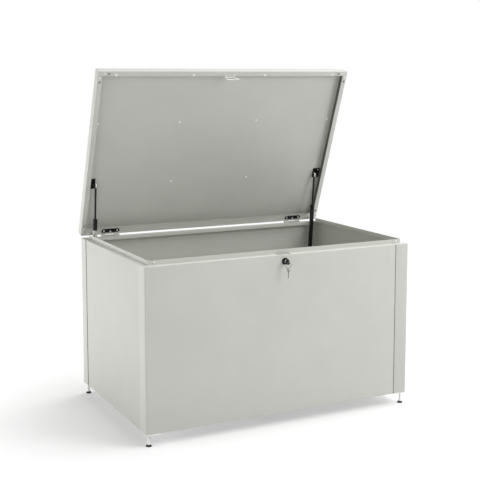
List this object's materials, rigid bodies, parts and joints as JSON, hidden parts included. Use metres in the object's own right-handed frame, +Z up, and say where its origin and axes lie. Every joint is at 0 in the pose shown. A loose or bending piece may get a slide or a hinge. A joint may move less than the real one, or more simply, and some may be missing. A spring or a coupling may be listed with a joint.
{
  "type": "garden storage box",
  "caption": "Sheet-steel garden storage box on levelling feet, with a hinged lid held open by gas struts, a cam lock with keys and a rain rim around the opening",
  "frame": {"origin": "On the ground, in the middle of the four walls and under the middle of the open part's box", "axes": "+Z up, +X to the right seen from the front, front wall with the lock at -Y"},
  "size_m": [1.352, 0.9471, 1.6199],
  "materials": {
    "grey_paint": "satin",
    "zinc": "satin",
    "black_plastic": "matte",
    "rubber": "matte",
    "black_paint": "satin",
    "rod_steel": "gloss",
    "bright_steel": "satin",
    "lock_black": "gloss",
    "lock_metal": "gloss",
    "key_metal": "satin"
  },
  "bodies": {
    "box": {"wall_sheet_front_left": "grey_paint", "wall_sheet_back_right": "grey_paint", "floor_panel": "zinc", "floor_rail": "zinc", "rim_rivets": "bright_steel", "hinge_screws_wall": "bright_steel", "strut_rivets_wall": "bright_steel", "lock_housing": "lock_black", "lock_nut": "bright_steel", "foot_bracket_front_left": "zinc", "foot_bracket_front_right": "zinc", "foot_bracket_back_left": "zinc", "foot_bracket_back_right": "zinc", "hinge_wall_leaf_left": "black_paint", "hinge_pin_left": "bright_steel", "strut_wall_bracket_left": "black_paint", "hinge_wall_leaf_right": "black_paint", "hinge_pin_right": "bright_steel", "strut_wall_bracket_right": "black_paint"},
    "lid": {"lid_tray": "grey_paint", "lid_cover_sheet": "grey_paint", "lid_rivets": "bright_steel", "lid_corner_screws": "bright_steel", "lid_buffers": "rubber", "strike_plate": "zinc", "strike_screws": "bright_steel", "hinge_screws_lid": "bright_steel", "strut_rivets_lid": "bright_steel", "lid_corner_plate_front_left": "grey_paint", "lid_corner_plate_front_right": "grey_paint", "lid_corner_plate_back_left": "grey_paint", "lid_corner_plate_back_right": "grey_paint", "hinge_lid_leaf_left": "black_paint", "strut_lid_bracket_left": "black_paint", "hinge_lid_leaf_right": "black_paint", "strut_lid_bracket_right": "black_paint"},
    "plug": {"lock_plug": "lock_metal", "lock_cam": "bright_steel", "lock_cam_screw": "bright_steel"},
    "key": {"key": "key_metal"},
    "ring": {"key_ring": "bright_steel"},
    "spare": {"spare_key": "key_metal"},
    "barrel_left": {"strut_barrel_left": "black_paint"},
    "rod_left": {"strut_rod_left": "rod_steel"},
    "barrel_right": {"strut_barrel_right": "black_paint"},
    "rod_right": {"strut_rod_right": "rod_steel"},
    "foot_front_left": {"foot_stud_front_left": "zinc", "foot_pad_front_left": "black_plastic"},
    "foot_front_right": {"foot_stud_front_right": "zinc", "foot_pad_front_right": "black_plastic"},
    "foot_back_left": {"foot_stud_back_left": "zinc", "foot_pad_back_left": "black_plastic"},
    "foot_back_right": {"foot_stud_back_right": "zinc", "foot_pad_back_right": "black_plastic"}
  },
  "joints": [
    {"name": "lid_hinge", "type": "hinge", "parent": "box", "child": "lid", "pos_m": [0, 0.434, 0.79], "axis": [1, 0, 0], "range_deg": [0, 69], "stiffness_Nm_per_rad": 20, "springref_deg": -91.67},
    {"name": "lock_turn", "type": "hinge", "parent": "box", "child": "plug", "pos_m": [0, -0.43, 0.758], "axis": [0, -1, 0], "range_deg": [0, 90]},
    {"name": "key_pull", "type": "slide", "parent": "plug", "child": "key", "axis": [0, -1, 0], "range_m": [0, 0.025]},
    {"name": "ring_swing", "type": "hinge", "parent": "key", "child": "ring", "pos_m": [0, -0.463, 0.7557], "axis": [1, 0, 0], "range_deg": [-45, 12]},
    {"name": "spare_swing", "type": "hinge", "parent": "ring", "child": "spare", "pos_m": [0, -0.463, 0.7297], "axis": [1, 0, 0], "range_deg": [-45, 12]},
    {"name": "strut_barrel_left", "type": "hinge", "parent": "box", "child": "barrel_left", "pos_m": [0, 0.41012, 0.51704], "axis": [1, 0, 0], "range_deg": [0, 34.5]},
    {"name": "strut_rod_left", "type": "hinge", "parent": "lid", "child": "rod_left", "pos_m": [0, 0.35847, 1.05339], "axis": [1, 0, 0], "range_deg": [-34.5, 0]},
    {"name": "strut_barrel_right", "type": "hinge", "parent": "box", "child": "barrel_right", "pos_m": [0, 0.41012, 0.51704], "axis": [1, 0, 0], "range_deg": [0, 34.5]},
    {"name": "strut_rod_right", "type": "hinge", "parent": "lid", "child": "rod_right", "pos_m": [0, 0.35847, 1.05339], "axis": [1, 0, 0], "range_deg": [-34.5, 0]},
    {"name": "foot_height_front_left", "type": "slide", "parent": "box", "child": "foot_front_left", "axis": [0, 0, 1], "range_m": [-0.01, 0.02]},
    {"name": "foot_height_front_right", "type": "slide", "parent": "box", "child": "foot_front_right", "axis": [0, 0, 1], "range_m": [-0.01, 0.02]},
    {"name": "foot_height_back_left", "type": "slide", "parent": "box", "child": "foot_back_left", "axis": [0, 0, 1], "range_m": [-0.01, 0.02]},
    {"name": "foot_height_back_right", "type": "slide", "parent": "box", "child": "foot_back_right", "axis": [0, 0, 1], "range_m": [-0.01, 0.02]}
  ],
  "couplings": [
    {"joint": "strut_barrel_left", "follows": "lid_hinge", "ratio": 0.5},
    {"joint": "strut_rod_left", "follows": "lid_hinge", "ratio": -0.5},
    {"joint": "strut_barrel_right", "follows": "lid_hinge", "ratio": 0.5},
    {"joint": "strut_rod_right", "follows": "lid_hinge", "ratio": -0.5}
  ]
}
